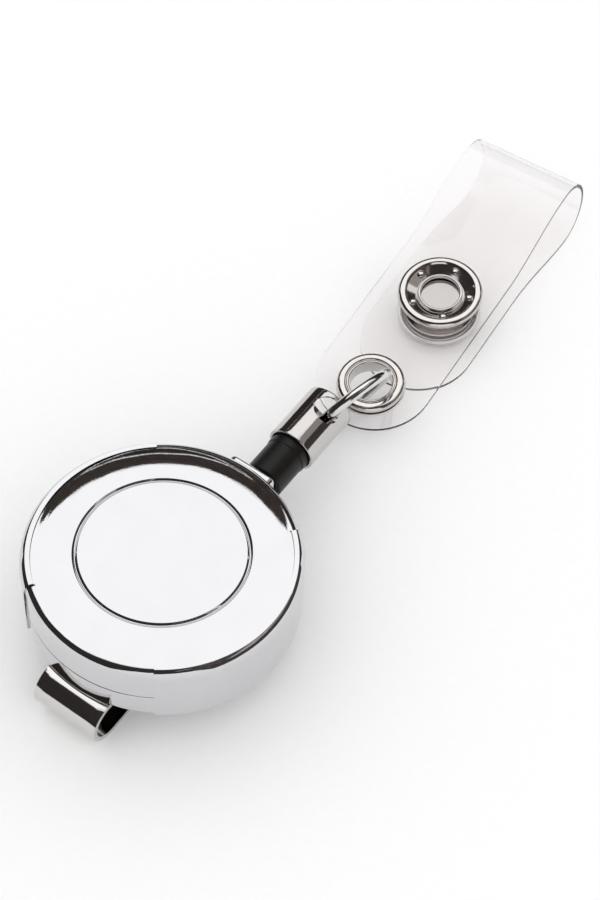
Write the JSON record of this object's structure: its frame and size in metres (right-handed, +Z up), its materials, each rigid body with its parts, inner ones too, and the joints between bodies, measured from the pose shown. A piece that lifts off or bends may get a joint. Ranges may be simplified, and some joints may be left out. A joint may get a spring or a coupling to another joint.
{
  "type": "retractable badge reel",
  "caption": "Round metal badge reel on a spring belt clip; a spring-wound spool takes up its cord, which ends in a stop, a ferrule, a link ring and a clear snap strap.",
  "frame": {"origin": "middle of the belt clip's lower leg, on the surface it rests on, under the middle of the case", "axes": "+Y from the case along the cord to the strap, +Z up from the clip to the case's face, +X to the right"},
  "size_m": [0.0326, 0.0996, 0.0151],
  "materials": {
    "case_chrome": "bright plated zinc",
    "ferrule_chrome": "bright plated brass tube",
    "ring_chrome": "bright plated wire",
    "snap_nickel": "bright nickel plate on pressed brass",
    "clip_nickel": "bright nickel plate on spring steel",
    "post_steel": "turned",
    "spring_steel": "blued",
    "washer_brass": "satin",
    "spool_plastic": "moulded nylon",
    "stop_plastic": "moulded, satin",
    "cord_braid": "braided nylon",
    "strap_vinyl": "clear soft vinyl"
  },
  "bodies": {
    "case": {"front_shell": "case_chrome", "rear_shell": "case_chrome", "side_band_right": "case_chrome", "side_band_left": "case_chrome", "exit_bezel": "case_chrome", "centre_post": "post_steel", "thrust_washer": "washer_brass", "cord_lead": "cord_braid", "belt_clip": "clip_nickel", "clip_rivet": "clip_nickel"},
    "spool": {"spool": "spool_plastic", "spool_flange": "spool_plastic", "power_spring": "spring_steel", "cord_winding": "cord_braid"},
    "cord_end": {"cord_end": "cord_braid", "cord_stop": "stop_plastic"},
    "ferrule": {"ferrule": "ferrule_chrome"},
    "link_ring": {"link_ring": "ring_chrome"},
    "strap": {"strap_upper": "strap_vinyl", "eyelet": "snap_nickel", "eyelet_washer": "snap_nickel", "snap_cap": "snap_nickel", "snap_socket": "snap_nickel", "snap_spring": "spring_steel"},
    "strap_flap": {"strap_lower": "strap_vinyl", "snap_stud": "snap_nickel", "snap_base": "snap_nickel"}
  },
  "joints": [
    {"name": "spool_spin", "type": "hinge", "parent": "case", "child": "spool", "pos_m": [0, 0.00036, 0.00936], "axis": [0, 0.0785, 0.9969], "continuous": true},
    {"name": "cord_pull", "type": "slide", "parent": "case", "child": "cord_end", "axis": [-0.0035, 1, 0], "range_m": [0, 0.6], "stiffness_N_per_m": 0.8, "springref_m": -0.5},
    {"name": "ferrule_swivel", "type": "hinge", "parent": "cord_end", "child": "ferrule", "pos_m": [0.00103, 0.02366, 0.0076], "axis": [-0.0035, 0.9998, -0.0175], "continuous": true},
    {"name": "ring_swing", "type": "hinge", "parent": "ferrule", "child": "link_ring", "pos_m": [0.00101, 0.02956, 0.0075], "axis": [0.4226, 0.0173, 0.9062], "range_deg": [-45, 45]},
    {"name": "strap_swing", "type": "hinge", "parent": "link_ring", "child": "strap", "pos_m": [0.00234, 0.03449, 0.00635], "axis": [-0.9018, 0.1997, 0.3832], "range_deg": [-50, 22]},
    {"name": "snap_open", "type": "hinge", "parent": "strap", "child": "strap_flap", "pos_m": [-0.0006, 0.0807, 0.00462], "axis": [0.9982, 0.0593, 0], "range_deg": [0, 90]}
  ],
  "couplings": [
    {"joint": "spool_spin", "follows": "cord_pull", "rad_per_m": 89.286}
  ]
}
